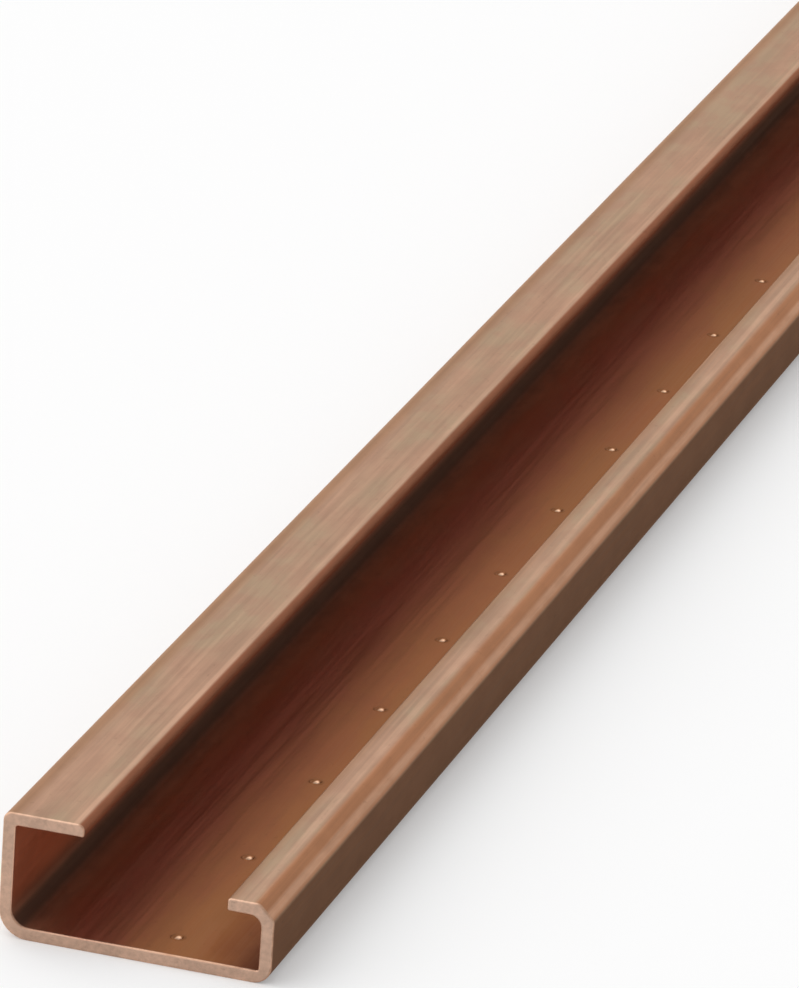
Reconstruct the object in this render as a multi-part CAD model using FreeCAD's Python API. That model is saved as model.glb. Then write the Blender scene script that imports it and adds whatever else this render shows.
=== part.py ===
"""Copper mounting rail: an asymmetric G section that clip-on terminals hang on.

One length of drawn copper stock, lying on its flat web. The origin is under the
middle of the web, X runs across the rail, Y along it and Z up. The tall side with
its wide lip is at -X, the low side with its narrow lip at +X.
"""
import FreeCAD, Part
import math
import os

# Driving dimensions, in millimetres.
# The stock and its section, all measured over the outside.
length = 1000.0
width = 32.0
tall_side = 15.0
low_side = 9.5
wide_lip = 9.5
narrow_lip = 5.5
sheet = 1.5

# Each bend has a radius of its own, inside and outside. The narrow lip's bend is
# rolled to a flat at 45 degrees on the outside, with a radius at both its edges.
tall_foot_inside = 2.0
tall_foot_outside = 3.4
low_foot_inside = 0.3
low_foot_outside = 2.1
wide_lip_inside = 0.3
wide_lip_outside = 1.0
narrow_lip_inside = 1.4
narrow_lip_flat = 1.8
flat_edge_radius = 1.0

# The free edges of both lips are rounded a little, and the sawn ends are deburred.
lip_edge_radius = 0.35
end_chamfer = 0.2

# A row of centre-punch marks runs along the web's upper face, for drilling by.
mark_pitch = 25.0
mark_from_end = 5.0
mark_from_tall_side = 19.5
mark_diameter = 1.2
mark_depth = 0.35
mark_tip_diameter = 0.15

# Where the section's faces lie.
tall_face = -width / 2
low_face = width / 2
wide_lip_edge = tall_face + wide_lip
narrow_lip_edge = low_face - narrow_lip


def section_corners():
    """The section's sharp corners and their radii, once round from the tall side's foot."""
    return [
        (tall_face, 0.0, tall_foot_outside),
        (low_face, 0.0, low_foot_outside),
        (low_face, low_side - narrow_lip_flat, flat_edge_radius),
        (low_face - narrow_lip_flat, low_side, flat_edge_radius),
        (narrow_lip_edge, low_side, lip_edge_radius),
        (narrow_lip_edge, low_side - sheet, lip_edge_radius),
        (low_face - sheet, low_side - sheet, narrow_lip_inside),
        (low_face - sheet, sheet, low_foot_inside),
        (tall_face + sheet, sheet, tall_foot_inside),
        (tall_face + sheet, tall_side - sheet, wide_lip_inside),
        (wide_lip_edge, tall_side - sheet, lip_edge_radius),
        (wide_lip_edge, tall_side, lip_edge_radius),
        (tall_face, tall_side, wide_lip_outside),
    ]


def rounded_wire(corners, y):
    """A closed outline at height y of straight runs, each corner turned by a tangent arc."""
    edges = []
    points = [FreeCAD.Vector(x, y, z) for x, z, radius in corners]
    arcs = []
    for index, corner in enumerate(points):
        radius = corners[index][2]
        back = (points[index - 1] - corner).normalize()
        ahead = (points[(index + 1) % len(points)] - corner).normalize()
        half_angle = back.getAngle(ahead) / 2
        setback = radius / math.tan(half_angle)
        bisector = (back + ahead).normalize()
        middle = corner + bisector * (radius / math.sin(half_angle) - radius)
        arcs.append((corner + back * setback, middle, corner + ahead * setback))
    for index, (start, middle, end) in enumerate(arcs):
        next_start = arcs[(index + 1) % len(arcs)][0]
        edges.append(Part.Arc(start, middle, end).toShape())
        edges.append(Part.LineSegment(end, next_start).toShape())
    return Part.Wire(edges)


def drawn_length():
    """The section drawn out along Y, centred on the origin, with both sawn ends deburred."""
    outline = rounded_wire(section_corners(), -length / 2)
    stock = Part.Face(outline).extrude(FreeCAD.Vector(0, length, 0))
    sawn_edges = [edge for edge in stock.Edges if edge.BoundBox.YLength < end_chamfer]
    return stock.makeChamfer(end_chamfer, sawn_edges)


def punch_marks():
    """The punch's blunt cone at every mark, sunk into the web's upper face."""
    mouth_radius = mark_diameter / 2
    tip_radius = mark_tip_diameter / 2
    count = 1 + int((length - 2 * mark_from_end) // mark_pitch)
    x = tall_face + mark_from_tall_side
    marks = []
    for number in range(count):
        y = -length / 2 + mark_from_end + number * mark_pitch
        tip = FreeCAD.Vector(x, y, sheet - mark_depth)
        # The cone runs on above the face at the same slope, so that the cut leaves no skin.
        marks.append(Part.makeCone(tip_radius, 2 * mouth_radius - tip_radius, 2 * mark_depth, tip))
    return marks


def rail():
    """The drawn stock with its row of marks."""
    return drawn_length().cut(punch_marks())


os.makedirs("parts", exist_ok=True)
part = rail()
part.exportStep("parts/rail.step")
print("rail: volume %.0f mm3, section %.1f mm2, solids %d, valid %s, box %s" % (
    part.Volume, part.Volume / length, len(part.Solids), part.isValid(), part.BoundBox))
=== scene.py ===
# %% [markdown]
# A copper mounting rail, dressed for the camera
#
# The rail is one drawn length of copper sheet. Its flat web carries a tall side and a low
# side, and both are folded inwards to a lip, so that clip-on terminals can hang between
# them. This lesson takes the imported model as a fixed frame, sweeps the same section again
# with finer bends, and gives the metal its drawn grain, its tarnish and its sawn ends, with
# some of its light and shade painted into its colour.

# %% Load the fixed frame
import math

import bpy
from mathutils import Matrix, Vector


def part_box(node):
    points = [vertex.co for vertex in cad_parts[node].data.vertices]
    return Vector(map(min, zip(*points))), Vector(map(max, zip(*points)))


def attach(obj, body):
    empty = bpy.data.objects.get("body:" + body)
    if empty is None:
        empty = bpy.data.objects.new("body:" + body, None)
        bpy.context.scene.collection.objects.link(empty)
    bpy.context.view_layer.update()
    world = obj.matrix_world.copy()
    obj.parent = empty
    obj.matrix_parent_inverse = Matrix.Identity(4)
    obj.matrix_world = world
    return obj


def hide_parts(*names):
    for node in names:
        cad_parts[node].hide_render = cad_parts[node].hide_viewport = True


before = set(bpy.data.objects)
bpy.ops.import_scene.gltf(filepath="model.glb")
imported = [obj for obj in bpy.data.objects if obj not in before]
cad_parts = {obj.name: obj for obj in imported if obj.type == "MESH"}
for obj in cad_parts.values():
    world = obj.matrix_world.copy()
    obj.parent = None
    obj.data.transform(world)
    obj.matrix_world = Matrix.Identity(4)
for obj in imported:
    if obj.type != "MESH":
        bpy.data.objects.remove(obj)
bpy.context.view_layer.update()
mm = 0.001

# %% [markdown]
# Sizes
#
# The length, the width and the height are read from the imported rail's own box, so that the
# dressed rail can't drift away from it. What the box can't tell, such as the sheet's
# thickness, the two lips and the radius of each bend, is written down once here, in metres.

# %% Sizes of the stock
lowest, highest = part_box("rail")
tall_face = lowest.x
low_face = highest.x
tall_side = highest.z
half_length = highest.y
low_side = 9.5 * mm
wide_lip = 9.5 * mm
narrow_lip = 5.5 * mm
sheet = 1.5 * mm
wide_lip_edge = tall_face + wide_lip
narrow_lip_edge = low_face - narrow_lip
print("stock %.0f mm long, %.0f mm wide, %.0f mm high" % (
    2 * half_length / mm, (low_face - tall_face) / mm, tall_side / mm))

# %% Radii of the bends and of the edges
tall_foot_inside = 2.0 * mm
tall_foot_outside = 3.4 * mm
low_foot_inside = 0.3 * mm
low_foot_outside = 2.1 * mm
wide_lip_inside = 0.3 * mm
wide_lip_outside = 1.0 * mm
narrow_lip_inside = 1.4 * mm
narrow_lip_flat = 1.8 * mm
flat_edge_radius = 1.0 * mm
sheared_edge_radius = 0.25 * mm
wide_lip_worn = 0.8 * mm
narrow_lip_worn = 0.4 * mm
end_rounding = 0.2 * mm

# %% Sizes of the punch marks
mark_pitch = 25.0 * mm
mark_from_end = 5.0 * mm
mark_across = tall_face + 19.5 * mm
mark_radius = 0.6 * mm
mark_depth = 0.35 * mm
tip_radius = 0.075 * mm
rim_height = 0.05 * mm
print("marks every %.0f mm, the first %.0f mm from the end" % (mark_pitch / mm, mark_from_end / mm))

# %% [markdown]
# Node trees as expressions
#
# Both the shape and the finish are node trees. Placing every Math node by hand would hide
# what is worked out, so one small class stands for a socket and overloads the arithmetic:
# an expression such as 1 - mask adds the node that does it. Every other node comes from one
# method, which sets the node's settings first and then its sockets.

# %% A socket that can be reckoned with
class Socket:
    """One output of a node. Arithmetic on it adds Math nodes to its tree."""

    def __init__(self, tree, output):
        self.tree = tree
        self.output = output

    def maths(self, operation, *values):
        return self.tree.node("ShaderNodeMath", {"operation": operation}, dict(enumerate(values)))

    def __add__(self, other):
        return self.maths("ADD", self, other)

    def __radd__(self, other):
        return self.maths("ADD", other, self)

    def __sub__(self, other):
        return self.maths("SUBTRACT", self, other)

    def __rsub__(self, other):
        return self.maths("SUBTRACT", other, self)

    def __mul__(self, other):
        return self.maths("MULTIPLY", self, other)

    def __rmul__(self, other):
        return self.maths("MULTIPLY", other, self)

    def __truediv__(self, other):
        return self.maths("DIVIDE", self, other)

    def __abs__(self):
        return self.maths("ABSOLUTE", self)

    def __lt__(self, other):
        return self.maths("LESS_THAN", self, other)

    def __gt__(self, other):
        return self.maths("GREATER_THAN", self, other)

    def least(self, other):
        return self.maths("MINIMUM", self, other)

    def most(self, other):
        return self.maths("MAXIMUM", self, other)

    def sibling(self, output):
        """Another output of the same node."""
        return Socket(self.tree, self.output.node.outputs[output])


# %% A tree that makes its nodes from one method
class Tree:
    """A node tree with one way to add a node."""

    def __init__(self, node_tree):
        self.node_tree = node_tree

    def node(self, kind, settings=None, sockets=None, output=0):
        """A new node of that kind, given back as the output asked for.

        A setting is an attribute of the node, apart from a colour ramp's stops and the
        titles of what is captured. A socket's value is a plain value, another Socket to
        link, or a list of Sockets that all go into it.
        """
        made = self.node_tree.nodes.new(kind)
        for name, value in (settings or {}).items():
            if name == "stops":
                self.set_stops(made.color_ramp, value)
            elif name == "captures":
                for title in value:
                    made.capture_items.new("FLOAT", title)
            else:
                setattr(made, name, value)
        for key, value in (sockets or {}).items():
            several = value if isinstance(value, list) else [value]
            for one in several:
                if isinstance(one, Socket):
                    self.node_tree.links.new(one.output, made.inputs[key])
                else:
                    made.inputs[key].default_value = one
        if len(made.outputs) > 0:
            return Socket(self, made.outputs[output])

    def set_stops(self, ramp, stops):
        while len(ramp.elements) < len(stops):
            ramp.elements.new(0.5)
        for element, (place, colour) in zip(ramp.elements, stops):
            element.position = place
            element.color = colour

    def vector(self, x, y, z):
        return self.node("ShaderNodeCombineXYZ", {}, {0: x, 1: y, 2: z})

    def length(self, across, along):
        """How long a line is that goes that far across and that far along."""
        line = self.vector(across, along, 0.0)
        return self.node("ShaderNodeVectorMath", {"operation": "LENGTH"}, {0: line}, "Value")

    def rise(self, value, start, end):
        """A soft step: 0 up to start, 1 from end on, or falling where end is the lower one."""
        return self.node("ShaderNodeMapRange", {"interpolation_type": "SMOOTHSTEP"},
                         {"Value": value, "From Min": start, "From Max": end})


# %% [markdown]
# The section
#
# On the real rail the section comes from folding flat copper round four bends, and the one
# at the narrow lip is rolled flat on its outside. It could be drawn with all of its arcs,
# but then every change of a radius moves dozens of points. Here the outline has only its
# sharp corners, and each corner carries its radius as an attribute, which the tree reads
# when it rounds the corners. The strip was sheared to width, which leaves the lips' free
# edges crisp. Whatever is clipped on wears the upper ones round, most of all on the wide
# lip, while the lower ones stay as they were cut.

# %% The sharp corners, once round
section_corners = [
    (tall_face, 0.0, tall_foot_outside),
    (low_face, 0.0, low_foot_outside),
    (low_face, low_side - narrow_lip_flat, flat_edge_radius),
    (low_face - narrow_lip_flat, low_side, flat_edge_radius),
    (narrow_lip_edge, low_side, narrow_lip_worn),
    (narrow_lip_edge, low_side - sheet, sheared_edge_radius),
    (low_face - sheet, low_side - sheet, narrow_lip_inside),
    (low_face - sheet, sheet, low_foot_inside),
    (tall_face + sheet, sheet, tall_foot_inside),
    (tall_face + sheet, tall_side - sheet, wide_lip_inside),
    (wide_lip_edge, tall_side - sheet, sheared_edge_radius),
    (wide_lip_edge, tall_side, wide_lip_worn),
    (tall_face, tall_side, wide_lip_outside),
]


def outline_mesh(corners):
    """A closed loop of edges, with each corner's radius.

    A sweep along +Y turns the outline's own Y downwards, so the heights go in negated, and
    the corners in the other order, which keeps the faces pointing outwards.
    """
    mesh = bpy.data.meshes.new("section")
    points = [(x, -z, 0.0) for x, z, radius in reversed(corners)]
    sides = [(index, (index + 1) % len(corners)) for index in range(len(corners))]
    mesh.from_pydata(points, sides, [])
    bend = mesh.attributes.new("bend", "FLOAT", "POINT")
    for index, (x, z, radius) in enumerate(reversed(corners)):
        bend.data[index].value = radius
    return mesh


section = bpy.data.objects.new("section", outline_mesh(section_corners))
bpy.context.scene.collection.objects.link(section)
print("section has", len(section_corners), "corners")

# %% [markdown]
# Sweeping the rail and punching its marks
#
# The rail follows a rule, so Geometry Nodes make it: round the corners, sweep the outline
# along the length, and break the sawn edge at both ends. The rings of the sweep are placed
# by a formula. The first few follow a quarter circle, where each is also drawn in by what
# the quarter circle has cut away, and the rest are spread evenly.
#
# A row of centre-punch marks runs along the web. A punch pushes the copper up round its
# point, so each mark is a low ring that is joined on and a blunt cone that is cut out. They
# repeat, so they are instances on a line of points, made real before they are joined. The
# cone stands as far above the web as it reaches below, so that it cuts the rim too. It is
# turned by half a side, so that none of its corners falls on a corner of the ring, where the
# cut would leave slivers.

# %% Start the tree with its named inputs
ring_count = 113
bend_segments = 8
rail_tree = Tree(bpy.data.node_groups.new("drawn_rail", "GeometryNodeTree"))
interface = rail_tree.node_tree.interface
interface.new_socket("Section", in_out="INPUT", socket_type="NodeSocketGeometry")
interface.new_socket("Rail", in_out="OUTPUT", socket_type="NodeSocketGeometry")
rail_inputs = {
    "Half Length": ("NodeSocketFloat", half_length),
    "End Rounding": ("NodeSocketFloat", end_rounding),
    "Rings": ("NodeSocketInt", ring_count),
    "Bend Segments": ("NodeSocketInt", bend_segments),
    "Mark Pitch": ("NodeSocketFloat", mark_pitch),
    "Mark From End": ("NodeSocketFloat", mark_from_end),
    "Mark Across": ("NodeSocketFloat", mark_across),
    "Web Face": ("NodeSocketFloat", sheet),
    "Mark Radius": ("NodeSocketFloat", mark_radius),
    "Mark Depth": ("NodeSocketFloat", mark_depth),
    "Tip Radius": ("NodeSocketFloat", tip_radius),
    "Rim Height": ("NodeSocketFloat", rim_height),
}
for title, (kind, value) in rail_inputs.items():
    interface.new_socket(title, in_out="INPUT", socket_type=kind)
interface.new_socket("Copper", in_out="INPUT", socket_type="NodeSocketMaterial")
group_input = rail_tree.node("NodeGroupInput")
print("tree has", len(rail_inputs), "inputs for its sizes")


def given(title):
    """The tree's own input of that name."""
    return group_input.sibling(title)


# %% Round the corners of the section
outline = rail_tree.node("GeometryNodeMeshToCurve", {}, {"Mesh": given("Section")})
corner_radius = rail_tree.node("GeometryNodeInputNamedAttribute", {"data_type": "FLOAT"},
                               {"Name": "bend"})
rounded = rail_tree.node("GeometryNodeFilletCurve", {"mode": "POLY"},
                         {"Curve": outline, "Count": given("Bend Segments"),
                          "Radius": corner_radius, "Limit Radius": True})

# %% Place the rings of the sweep
rounding_rings = 3
ring = rail_tree.node("GeometryNodeInputIndex")
last = given("Rings") - 1
from_end = ring.least(last - ring)
quarter = (from_end / rounding_rings).least(1.0) * (math.pi / 2)
along_end = given("End Rounding") * (1 - quarter.maths("COSINE", quarter))
drawn_in = given("End Rounding") * (1 - quarter.maths("SINE", quarter))
spacing = (given("Half Length") - given("End Rounding")) * 2 / (last - 2 * rounding_rings)
inset = along_end + (from_end - rounding_rings).most(0.0) * spacing
near_half = ring < last / 2
place = (given("Half Length") - inset) * (1 - 2 * near_half)

# %% Sweep the section along the rings
path = rail_tree.node("GeometryNodeCurvePrimitiveLine", {}, {"End": (0.0, 1.0, 0.0)})
path = rail_tree.node("GeometryNodeResampleCurve", {}, {"Curve": path, "Count": given("Rings")})
path = rail_tree.node("GeometryNodeSetPosition", {},
                      {"Geometry": path, "Position": rail_tree.vector(0.0, place, 0.0)})
path = rail_tree.node("GeometryNodeSetCurveNormal", {"mode": "Z_UP"}, {"Curve": path})
path = rail_tree.node("GeometryNodeCaptureAttribute", {"captures": ["drawn in"]},
                      {"Geometry": path, 1: drawn_in})
ring_inset = path.sibling(1)
swept = rail_tree.node("GeometryNodeCurveToMesh", {},
                       {"Curve": path, "Profile Curve": rounded, "Fill Caps": True})

# %% Break the sawn edges
normal = rail_tree.node("GeometryNodeInputNormal")
outwards = rail_tree.node("ShaderNodeVectorMath", {"operation": "MULTIPLY"},
                          {0: normal, 1: (1.0, 0.0, 1.0)})
outwards = rail_tree.node("ShaderNodeVectorMath", {"operation": "NORMALIZE"}, {0: outwards})
inwards = rail_tree.node("ShaderNodeVectorMath", {"operation": "SCALE"},
                         {0: outwards, "Scale": 0.0 - ring_inset})
stock = rail_tree.node("GeometryNodeSetPosition", {}, {"Geometry": swept, "Offset": inwards})

# %% One punch mark: the pushed-up rim, a ring of round section that is then flattened
mark_sides = 28
rim_sides = 10
rim_spread = 1.25
flattening = 3.2
ring_path = rail_tree.node("GeometryNodeCurvePrimitiveCircle", {},
                           {"Resolution": mark_sides, "Radius": given("Mark Radius") * rim_spread})
ring_profile = rail_tree.node("GeometryNodeCurvePrimitiveCircle", {},
                              {"Resolution": rim_sides, "Radius": given("Rim Height") * flattening})
rim = rail_tree.node("GeometryNodeCurveToMesh", {},
                     {"Curve": ring_path, "Profile Curve": ring_profile})
rim = rail_tree.node("GeometryNodeTransform", {},
                     {"Geometry": rim, "Scale": (1.0, 1.0, 1.0 / flattening)})

# %% One punch mark: the blunt cone
cone = rail_tree.node("GeometryNodeMeshCone", {"fill_type": "NGON"},
                      {"Vertices": mark_sides, "Radius Bottom": given("Tip Radius"),
                       "Radius Top": given("Mark Radius") * 2 - given("Tip Radius"),
                       "Depth": given("Mark Depth") * 2})
cone = rail_tree.node("GeometryNodeTransform", {},
                      {"Geometry": cone, "Rotation": (0.0, 0.0, math.pi / mark_sides),
                       "Translation": rail_tree.vector(0.0, 0.0, 0.0 - given("Mark Depth"))})

# %% The row of marks
run = given("Half Length") * 2 - given("Mark From End") * 2
count = run / given("Mark Pitch")
count = count.maths("FLOOR", count) + 1
first = rail_tree.vector(given("Mark Across"), given("Mark From End") - given("Half Length"),
                         given("Web Face"))
step = rail_tree.vector(0.0, given("Mark Pitch"), 0.0)
row = rail_tree.node("GeometryNodeMeshLine", {},
                     {"Count": count, "Start Location": first, "Offset": step})


def along_row(shape):
    """The shape at every mark, made real."""
    placed = rail_tree.node("GeometryNodeInstanceOnPoints", {}, {"Points": row, "Instance": shape})
    return rail_tree.node("GeometryNodeRealizeInstances", {}, {"Geometry": placed})


# %% Join the rims and cut the cones
joined = rail_tree.node("GeometryNodeMeshBoolean", {"operation": "UNION", "solver": "EXACT"},
                        {"Mesh 2": [stock, along_row(rim)]})
punched = rail_tree.node("GeometryNodeMeshBoolean", {"operation": "DIFFERENCE", "solver": "EXACT"},
                         {"Mesh 1": joined, "Mesh 2": along_row(cone)})

# %% Shade the bends smooth and the sawn ends flat, and finish the tree
cap_reach = 0.001 * mm
smooth = rail_tree.node("GeometryNodeSetShadeSmooth", {}, {0: punched})
position = rail_tree.node("GeometryNodeInputPosition")
along = rail_tree.node("ShaderNodeSeparateXYZ", {}, {0: position}, "Y")
on_cap = abs(along) > given("Half Length") - cap_reach
capped = rail_tree.node("GeometryNodeSetShadeSmooth", {"domain": "EDGE"},
                        {0: smooth, "Selection": on_cap, "Shade Smooth": False})
real = rail_tree.node("GeometryNodeRealizeInstances", {}, {"Geometry": capped})
skinned = rail_tree.node("GeometryNodeSetMaterial", {},
                         {"Geometry": real, "Material": given("Copper")})
rail_tree.node("NodeGroupOutput", {}, {"Rail": skinned})
print("rail's tree has", len(rail_tree.node_tree.nodes), "nodes")

# %% [markdown]
# From the tree to a plain mesh
#
# The tree is put on the section's object and its inputs are set by their identifiers. A
# weighted normal comes after it: the large flats then keep their own direction, and only
# the bends shade round, as on folded sheet. The result is turned into a plain mesh, and the
# object that carried the tree is deleted.

# %% Put the tree on the section and read the result
growth = section.modifiers.new("drawn_rail", "NODES")
growth.node_group = rail_tree.node_tree
copper = bpy.data.materials.new("drawn_copper")
for socket in interface.items_tree:
    if socket.in_out == "INPUT" and socket.name in rail_inputs:
        growth[socket.identifier] = rail_inputs[socket.name][1]
    if socket.name == "Copper":
        growth[socket.identifier] = copper
section.modifiers.new("flat_faces", "WEIGHTED_NORMAL").keep_sharp = True
evaluated = section.evaluated_get(bpy.context.evaluated_depsgraph_get())
rail_mesh = bpy.data.meshes.new_from_object(evaluated)
rail_mesh.name = "copper_rail"
rail = bpy.data.objects.new("copper_rail", rail_mesh)
bpy.context.scene.collection.objects.link(rail)
bpy.data.objects.remove(section)
print("copper rail has", len(rail_mesh.vertices), "points and", len(rail_mesh.polygons), "faces")

# %% [markdown]
# The copper's grain
#
# The real metal is bare. Drawing it through rolls has left fine lines along its length, and
# its tone drifts a little from patch to patch. Pictures of metal would need a photograph of
# each face. Noise in the rail's own millimetres needs none: squeezed across the rail and
# drawn out along it, it makes the lines at their real size on every face. Each pattern is
# shifted to a place of its own in the noise, so that no two of them coincide.

# %% Where a point lies, in millimetres
copper.use_nodes = True
copper.node_tree.nodes.clear()
finish = Tree(copper.node_tree)
spot = finish.node("ShaderNodeTexCoord", output="Object")
spot = finish.node("ShaderNodeVectorMath", {"operation": "SCALE"}, {0: spot, "Scale": 1 / mm})
x = finish.node("ShaderNodeSeparateXYZ", {}, {0: spot}, "X")
y = x.sibling("Y")
z = x.sibling("Z")


def cloud(size_across, size_along, detail, shift=0.0):
    """Noise from 0 to 1 whose patches measure that many millimetres."""
    squeezed = finish.node("ShaderNodeVectorMath", {"operation": "MULTIPLY_ADD"},
                           {0: spot, 1: (1 / size_across, 1 / size_along, 1 / size_across),
                            2: (shift, shift, shift)})
    return finish.node("ShaderNodeTexNoise", {}, {"Vector": squeezed, "Scale": 1.0,
                                                  "Detail": detail, "Roughness": 0.6})


# %% Drawn lines, patches and specks
drawn_lines = finish.rise(cloud(0.24, 40.0, detail=4.0), 0.30, 0.70)
grain = finish.rise(cloud(0.60, 22.0, detail=3.0, shift=11.0), 0.32, 0.68)
broad_lines = finish.rise(cloud(1.6, 160.0, detail=2.0, shift=7.0), 0.32, 0.68)
patches = finish.rise(cloud(3.2, 7.0, detail=3.0, shift=19.0), 0.36, 0.64)
blush = finish.rise(cloud(8.0, 26.0, detail=2.0, shift=31.0), 0.38, 0.62)
specks = finish.rise(cloud(0.9, 1.6, detail=2.0, shift=43.0), 0.66, 0.76)
worn_through = finish.rise(cloud(1.5, 9.0, detail=3.0, shift=57.0), 0.25, 0.60)

# %% [markdown]
# Where each finish lies
#
# The stock hasn't aged alike all over, and some of its light and shade is painted into its
# colour. Handling has rubbed the lips pale, and their edges most, which carry painted
# highlights too. The channel, which nothing rubs, has kept a darker skin, with painted shade
# in the bend at the tall side's foot and under the lips. The low side and the wide lip's
# sheared edge are painted brown, as shade. The sawn ends and the punch marks are fresh metal,
# and each mark carries a painted glint in a ring of painted shade.
#
# Each of these could be a material of its own on its own faces, but then every border would
# be hard. Here each one is a mask from 0 to 1, worked out from where a point lies in the
# section, so that one finish fades into the next. All lengths in the masks are in
# millimetres. A mask is 1 within its core and 0 past its reach.

# %% The section's faces, in millimetres
tall_x = tall_face / mm
low_x = low_face / mm
top_z = tall_side / mm
low_z = low_side / mm
end_y = half_length / mm
wall = sheet / mm
wide_edge_x = wide_lip_edge / mm
narrow_edge_x = narrow_lip_edge / mm
flat_x = (low_face - narrow_lip_flat) / mm
flat_z = (low_side - narrow_lip_flat) / mm
foot_radius = low_foot_outside / mm


def near(edge_x, edge_z, reach):
    """1 along an edge of the section, fading out within that many millimetres."""
    return finish.rise(finish.length(x - edge_x, z - edge_z), reach, reach * 0.3)


# %% The channel, a little into the sheet all round
soft_edge = 0.25
lip_core = 0.02
lip_reach = 0.20
inner_x = low_x - wall
between_walls = finish.rise(abs(x), inner_x + soft_edge, inner_x)
above_web = finish.rise(z, wall - soft_edge, wall - soft_edge / 2)
on_low_half = x > 0.0
ceiling = top_z - on_low_half * (top_z - low_z) - wall
below_lips = finish.rise(z, ceiling + lip_reach, ceiling + lip_core)
in_channel = between_walls * above_web * below_lips

# %% Painted shade in the bend at the tall side's foot, a wide film and a narrow line; the film also dulls the metal as grime
film_core = 0.8
film_reach = 5.0
line_core = 1.0
line_reach = 1.9
lowered = 1.3
from_bend = finish.length(x - (tall_x + wall), (z - wall) * lowered)
bend_shade_and_grime = finish.rise(from_bend, film_reach, film_core) * in_channel
bend_shade_core = finish.rise(from_bend, line_reach, line_core) * in_channel

# %% The rolled flat, where x + z is the same all over
lip_blend = 0.9
layer_core = 1.3
layer_reach = 1.7
flat_sum = low_x + flat_z
beside_lip = finish.rise(x, flat_x - lip_blend, flat_x)
above_low_side = finish.rise(z, flat_z - 0.3, flat_z + 0.2)
outer_layer = finish.rise(x + z, flat_sum - layer_reach, flat_sum - layer_core)
on_flat = beside_lip * above_low_side * outer_layer

# %% The low side's outer face, with the bend at its foot
face_core = 0.02
face_reach = 0.20
foot_inset = (foot_radius - z).most(0.0)
outer_face = finish.rise(x + foot_inset, low_x - face_reach, low_x - face_core)
below_flat = finish.rise(z, flat_z + 0.3, flat_z - 0.45)
on_low_side = outer_face * below_flat

# %% The wide lip's sheared edge, painted in shade that deepens towards its foot
edge_core = 0.40
edge_reach = 0.85
foot_core = 0.2
foot_reach = 0.8
lip_underside = top_z - wall
on_tall_half = x < 0.0
in_lip = z > lip_underside - 0.1
sheared = (finish.rise(x, wide_edge_x - edge_reach, wide_edge_x - edge_core)
           * on_tall_half * in_lip)
sheared_foot = finish.rise(z, lip_underside + foot_reach, lip_underside + foot_core)

# %% The sawn ends, and the edges brightened partly by rubbing and partly by painted highlights
sawn_core = 0.005
sawn_reach = 0.02
end_core = 0.10
end_reach = 0.35
sawn = finish.rise(abs(y), end_y - sawn_reach, end_y - sawn_core)
end_edge = finish.rise(abs(y), end_y - end_reach, end_y - end_core)
wide_lip_highlight = 0.45 * near(wide_edge_x - 1.0, top_z, reach=0.55)
narrow_lip_highlight = 0.50 * near(flat_x - 1.35, low_z, reach=0.60)
flat_edge_highlight = 0.60 * near(low_x - 0.5, flat_z + 0.6, reach=0.75)
rubbed_and_highlight = end_edge.most(wide_lip_highlight).most(narrow_lip_highlight).most(flat_edge_highlight)
rubbed_and_highlight = rubbed_and_highlight * (0.6 + 0.4 * worn_through)

# %% The punch marks: a painted glint in the pit, longer along the rail than across it, in a ring of painted shade
pit_core = 0.34
pit_reach = 0.62
pit_narrowing = 1.4
ring_core = 0.75
ring_reach = 1.10
from_first = (y - (mark_from_end - half_length) / mm) / (mark_pitch / mm)
nearest = from_first.maths("ROUND", from_first)
along_mark = (from_first - nearest) * (mark_pitch / mm)
across_mark = x - mark_across / mm
from_pit = finish.length(across_mark * pit_narrowing, along_mark)
from_mark = finish.length(across_mark, along_mark)
glinting_pit = finish.rise(from_pit, pit_reach, pit_core) * in_channel
mark_ring = finish.rise(from_mark, ring_reach, ring_core) * in_channel
print("patterns and masks take", len(finish.node_tree.nodes), "nodes")

# %% [markdown]
# Colours
#
# Bare copper is one colour, but its skin isn't: the rubbed lips are tan, olive in one patch
# and rosy in the next. The bends and the rolled flat are painted darker and redder, and the
# low side dark brown, all as shade. The channel goes from red-brown by the tall side to
# golden brown, and is painted dark brown under the narrow lip, as shade. One ramp of colours
# across the rail couldn't tell a face from its back, so the finish is built up like coats of
# paint. Each colour is laid over the ones before it through its own mask, with the painted
# highlights of the rubbed edges, the painted glints of the pits and the saw cuts last.

# %% A coat of colour
def tinted(mask, under, over):
    """The colour under, turned to the colour over where the mask is 1.

    A Mix node has its sockets once for each kind of value. Those of colours are 6, 7 and 2.
    """
    return finish.node("ShaderNodeMix", {"data_type": "RGBA"}, {0: mask, 6: under, 7: over}, 2)


# %% Colours of the rubbed outside, with painted shade on the bends, the rolled flat and the low side
tan = (0.440, 0.284, 0.201, 1.0)
olive_tan = (0.408, 0.296, 0.204, 1.0)
rosy_tan = (0.475, 0.288, 0.204, 1.0)
bend_painted_shade = (0.340, 0.185, 0.105, 1.0)
flat_painted_shade = (0.425, 0.188, 0.092, 1.0)
low_side_painted_shade = (0.168, 0.082, 0.046, 1.0)
colour = tinted(patches, tan, olive_tan)
colour = tinted(blush * 0.8, colour, rosy_tan)
# Painted shade: the wide lip's outer bend and the narrow lip's inner edge are darkened.
colour = tinted(near(tall_x + 0.6, top_z, reach=2.0) * 0.75, colour, bend_painted_shade)
colour = tinted(near(narrow_edge_x, low_z, reach=1.4) * 0.5, colour, bend_painted_shade)
# Painted shade: the rolled flat is painted a darker orange-red.
colour = tinted(on_flat * 0.9, colour, flat_painted_shade)
# Painted shade: the low side's outer face is painted dark brown.
colour = tinted(on_low_side * 0.95, colour, low_side_painted_shade)

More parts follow.
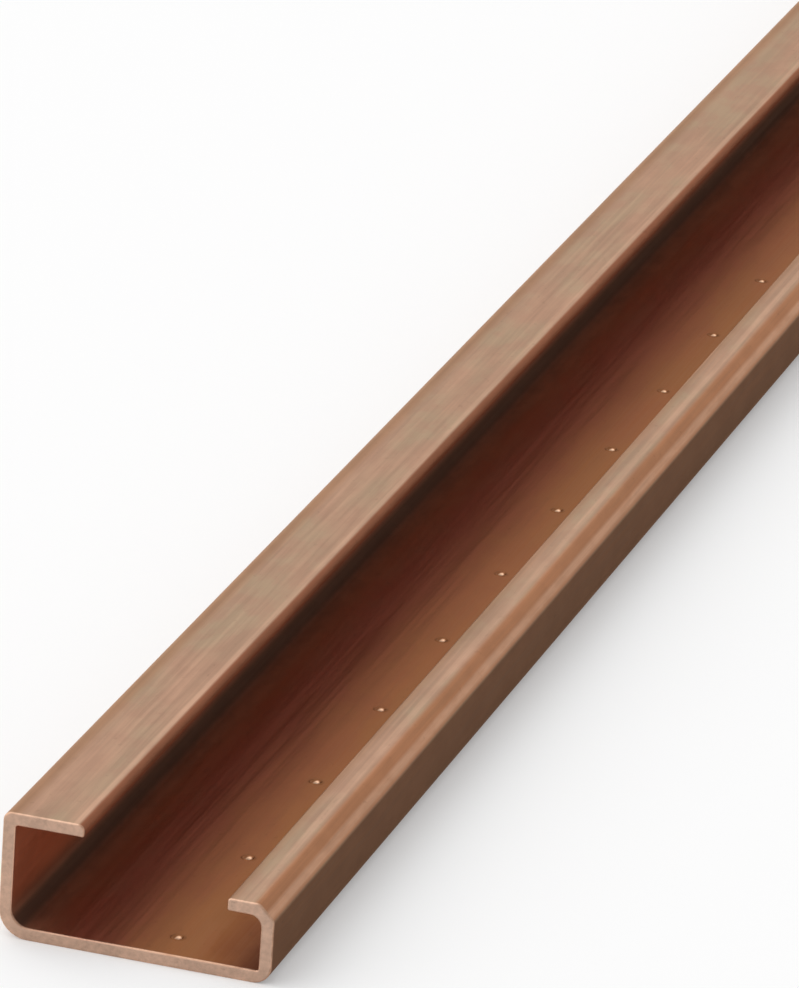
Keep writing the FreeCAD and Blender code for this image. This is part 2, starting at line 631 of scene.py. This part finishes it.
# %% Colours of the channel, from the tall side to the low side
across_web = (x - tall_x) / (low_x - tall_x) + 0.05 * (patches - 0.5)
# The channel's ramp is partly a darker skin and partly painted shade: it darkens the channel under
# both lips, most of all under the narrow one.
channel_skin_and_shade = finish.node("ShaderNodeValToRGB", {"stops": [
    (0.04, (0.690, 0.312, 0.185, 1.0)),
    (0.16, (0.400, 0.180, 0.110, 1.0)),
    (0.30, (0.400, 0.125, 0.080, 1.0)),
    (0.46, (0.340, 0.120, 0.062, 1.0)),
    (0.66, (0.350, 0.138, 0.060, 1.0)),
    (0.76, (0.270, 0.096, 0.035, 1.0)),
    (0.92, (0.170, 0.046, 0.020, 1.0)),
]}, {"Fac": across_web})
golden_skin = (0.330, 0.150, 0.055, 1.0)
painted_shade_film = (0.115, 0.054, 0.036, 1.0)
painted_shade_line = (0.045, 0.026, 0.020, 1.0)
ring_painted_shade = (0.150, 0.065, 0.025, 1.0)
channel_skin_and_shade = tinted(blush * 0.35 * finish.rise(across_web, 0.4, 0.6), channel_skin_and_shade, golden_skin)
colour = tinted(in_channel, colour, channel_skin_and_shade)
# Painted shade in the bend at the tall side's foot, under the wide lip: a wide film and a narrow
# dark line.
colour = tinted(bend_shade_and_grime * 0.68, colour, painted_shade_film)
colour = tinted(bend_shade_core * 0.65, colour, painted_shade_line)
# Painted shade in a ring round each punch mark.
colour = tinted(mark_ring * 0.40, colour, ring_painted_shade)

# %% Colours of the cut and rubbed metal, with painted shade, painted highlights and painted glints
sheared_edge_painted_shade = (0.360, 0.134, 0.070, 1.0)
sheared_foot_painted_shade = (0.270, 0.073, 0.030, 1.0)
rubbed_highlight_copper = (0.700, 0.450, 0.320, 1.0)
pit_glint_copper = (0.960, 0.620, 0.420, 1.0)
sawn_copper = (0.568, 0.378, 0.280, 1.0)
# Painted shade on the wide lip's sheared edge, darkest towards its foot.
colour = tinted(sheared * 0.9, colour, tinted(sheared_foot, sheared_edge_painted_shade, sheared_foot_painted_shade))
# Painted highlights along the rounded edges and the sawn ends' edges, partly real rubbing.
colour = tinted(rubbed_and_highlight * 0.8, colour, rubbed_highlight_copper)
# Painted glint in the pit of each punch mark.
colour = tinted(glinting_pit, colour, pit_glint_copper)
colour = tinted(sawn, colour, sawn_copper)

# %% Light and dark lines in the colour, fainter in the channel but with the same mean
lines = 0.10 * drawn_lines + 0.16 * grain + 0.09 * broad_lines + 0.08 * patches
shade = 0.78 + (1 - 0.65 * in_channel) * lines + 0.14 * in_channel - 0.10 * specks
shaded = finish.node("ShaderNodeVectorMath", {"operation": "SCALE"}, {0: colour, "Scale": shade})

# %% [markdown]
# Relief and gloss
#
# The drawn lines are a few thousandths of a millimetre deep, and the saw's about two
# hundredths. Modelled, they would take millions of faces, so both are bump, with heights in
# millimetres. What rubs the metal also polishes it, while grime, the low side and the sheared
# edge are left dull, so the same masks that place the painted light and shade also set how
# rough it is. The sawn ends are left out of that, because they were cut through all of it.

# %% Relief: drawn lines along the rail, saw lines across its ends
saw_lines_per_mm = 5.0
saw_lean = 0.6
saw_lines = finish.node("ShaderNodeTexNoise", {"noise_dimensions": "1D"},
                        {"W": z * saw_lines_per_mm + x * saw_lean, "Detail": 3.0})
drawn_relief = 0.0012 * drawn_lines + 0.0030 * grain + 0.0025 * broad_lines
saw_relief = 0.02 * saw_lines
relief = (1 - sawn) * (1 - 0.85 * in_channel) * drawn_relief + sawn * saw_relief
roughened = finish.node("ShaderNodeBump", {}, {"Height": relief, "Strength": 1.0, "Distance": mm})

# %% The metal itself
skin_roughness = (0.05 * in_channel - 0.06 * rubbed_and_highlight + 0.25 * bend_shade_and_grime - 0.12 * glinting_pit
                  + 0.34 * on_low_side + 0.20 * sheared)
roughness = (0.34 + 0.06 * drawn_lines + 0.06 * grain + 0.04 * broad_lines
             + (1 - sawn) * skin_roughness + 0.10 * sawn)
metal = finish.node("ShaderNodeBsdfPrincipled", {}, {
    "Base Color": shaded, "Metallic": 1.0, "Roughness": roughness, "Normal": roughened,
    "Specular Tint": (1.0, 0.82, 0.70, 1.0)})
finish.node("ShaderNodeOutputMaterial", {}, {"Surface": metal})
print("copper has", len(copper.node_tree.nodes), "nodes")

# %% [markdown]
# Floor
#
# The photograph's ground is plain white. A floor that is lit to white would need so much
# light that the copper clips, so the floor is a pale matt card with a little of its own
# white added for what the camera and the metal see. It keeps the rail's shadow. It lies a
# hair below the rail, so that the two never share a plane.

# %% A pale floor
floor_reach = 60.0
floor_height = -0.01 * mm
card_white = 0.70
card_glow = 0.243
corners = [(-1, -1), (1, -1), (1, 1), (-1, 1)]
floor_mesh = bpy.data.meshes.new("floor")
floor_mesh.from_pydata(
    [(side * floor_reach, end * floor_reach, floor_height) for side, end in corners],
    [], [(0, 1, 2, 3)])
floor = bpy.data.objects.new("floor", floor_mesh)
bpy.context.scene.collection.objects.link(floor)
card = bpy.data.materials.new("pale_card")
card.use_nodes = True
card.node_tree.nodes.clear()
floor_mesh.materials.append(card)
paint = Tree(card.node_tree)
rays = paint.node("ShaderNodeLightPath", output="Is Camera Ray")
seen = rays.most(rays.sibling("Is Glossy Ray")).most(rays.sibling("Is Transmission Ray"))
matt = paint.node("ShaderNodeBsdfDiffuse", {},
                  {"Color": (card_white, card_white, card_white, 1.0)})
glow = paint.node("ShaderNodeEmission", {},
                  {"Color": (1.0, 1.0, 1.0, 1.0), "Strength": seen * card_glow})
both = paint.node("ShaderNodeAddShader", {}, {0: matt, 1: glow})
paint.node("ShaderNodeOutputMaterial", {}, {"Surface": both})
print("floor reaches", floor_reach, "m each way")

# %% [markdown]
# Light
#
# In the photograph the lips are evenly lit from behind, the low side is dark, and the
# channel is dark on the left, where the tall side stands between it and the light. So the
# brightest part of the light is wide and soft and comes from the upper left, a second part
# behind the rail is what the lips mirror, and a weak one at the front right fills in. Lamps
# close by would light one stretch of the metre of rail more than the rest. A sky that
# changes with direction lights all of it alike.

# %% A soft sky in three parts
world = bpy.data.worlds.new("soft_light")
bpy.context.scene.world = world
world.use_nodes = True
world.node_tree.nodes.clear()
sky = Tree(world.node_tree)
direction = sky.node("ShaderNodeTexCoord", output="Generated")


def lit_from(towards, start, full):
    """How far a direction faces the light: 0 up to the cosine start, 1 from full on."""
    facing = sky.node("ShaderNodeVectorMath", {"operation": "DOT_PRODUCT"},
                      {0: direction, 1: Vector(towards).normalized()}, "Value")
    return sky.rise(facing, start, full)


behind = lit_from((-0.35, 0.90, 0.20), 0.0, 0.90)
upper_left = lit_from((-0.70, -0.20, 0.68), 0.35, 0.95)
front_right = lit_from((0.65, -0.45, 0.60), 0.50, 1.0)
strength = 0.30 + 0.60 * behind + 1.25 * upper_left + 0.35 * front_right
background = sky.node("ShaderNodeBackground", {},
                      {"Color": (1.0, 1.0, 1.0, 1.0), "Strength": strength})
sky.node("ShaderNodeOutputWorld", {}, {"Surface": background})
print("sky has", len(world.node_tree.nodes), "nodes")

# %% [markdown]
# Camera
#
# The camera stands to the right of the rail's near end and looks along it, through a long
# lens, as the photograph does. Its place and its directions were worked out from the
# rail's own edges in the photograph.

# %% The photograph's view
camera_place = Vector((0.26067, -1.31400, 0.37385))
forward = Vector((-0.25874, 0.90123, -0.34760)).normalized()
right = Vector((0.95240, 0.29809, 0.06392))
right = (right - forward * right.dot(forward)).normalized()
up = right.cross(forward)
turn = Matrix((right, up, -forward)).transposed()
camera_data = bpy.data.cameras.new("camera")
camera_data.sensor_width = 36.0
camera_data.lens = 306.3
camera_data.clip_start = 0.05
camera_data.clip_end = 200.0
camera = bpy.data.objects.new("camera", camera_data)
camera.matrix_world = Matrix.Translation(camera_place) @ turn.to_4x4()
bpy.context.scene.collection.objects.link(camera)
bpy.context.scene.camera = camera
bpy.context.scene.view_settings.view_transform = "Standard"
print("camera stands at", camera_place, "with a lens of %.1f mm" % camera_data.lens)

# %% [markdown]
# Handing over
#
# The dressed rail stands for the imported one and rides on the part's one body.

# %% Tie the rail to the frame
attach(rail, "root")
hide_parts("rail")
